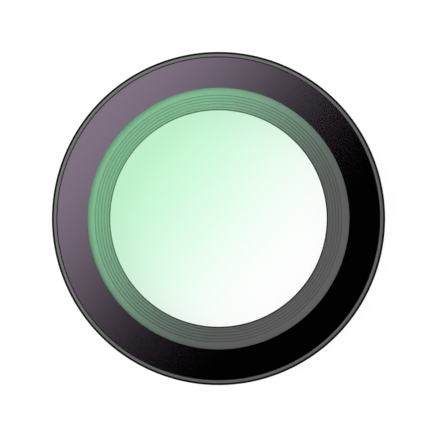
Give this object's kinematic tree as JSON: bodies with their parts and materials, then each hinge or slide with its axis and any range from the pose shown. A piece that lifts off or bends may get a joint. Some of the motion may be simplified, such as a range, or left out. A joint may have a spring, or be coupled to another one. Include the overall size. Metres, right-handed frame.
{
  "type": "uv filter",
  "caption": "Round screw-in protective filter: flush coated glass with a black printed border, in a turned metal frame with stepped baffle, gripped flange and rear threaded spigot.",
  "frame": {"origin": "centre of the spigot's end face, which the filter stands on when it lies glass up", "axes": "+Z along the optical axis, from the camera side towards the glass; X and Y are free, as the part is round"},
  "size_m": [0.0384, 0.0384, 0.0063],
  "materials": {
    "anodised_frame": "fine-turned aluminium, mid-grey satin anodised",
    "coated_glass": "polished optical glass, multi-layer coated with a green residual colour",
    "black_print": "black screen print on the back of the glass, with a faint purple sheen through the coating",
    "bond_film": "thin black acrylic bonding film",
    "seal_rubber": "smooth black rubber"
  },
  "bodies": {
    "root": {"filter_frame": "anodised_frame", "glass_disc": "coated_glass", "border_print": "black_print", "bond_ring": "bond_film", "seal_ring": "seal_rubber"}
  },
  "joints": []
}
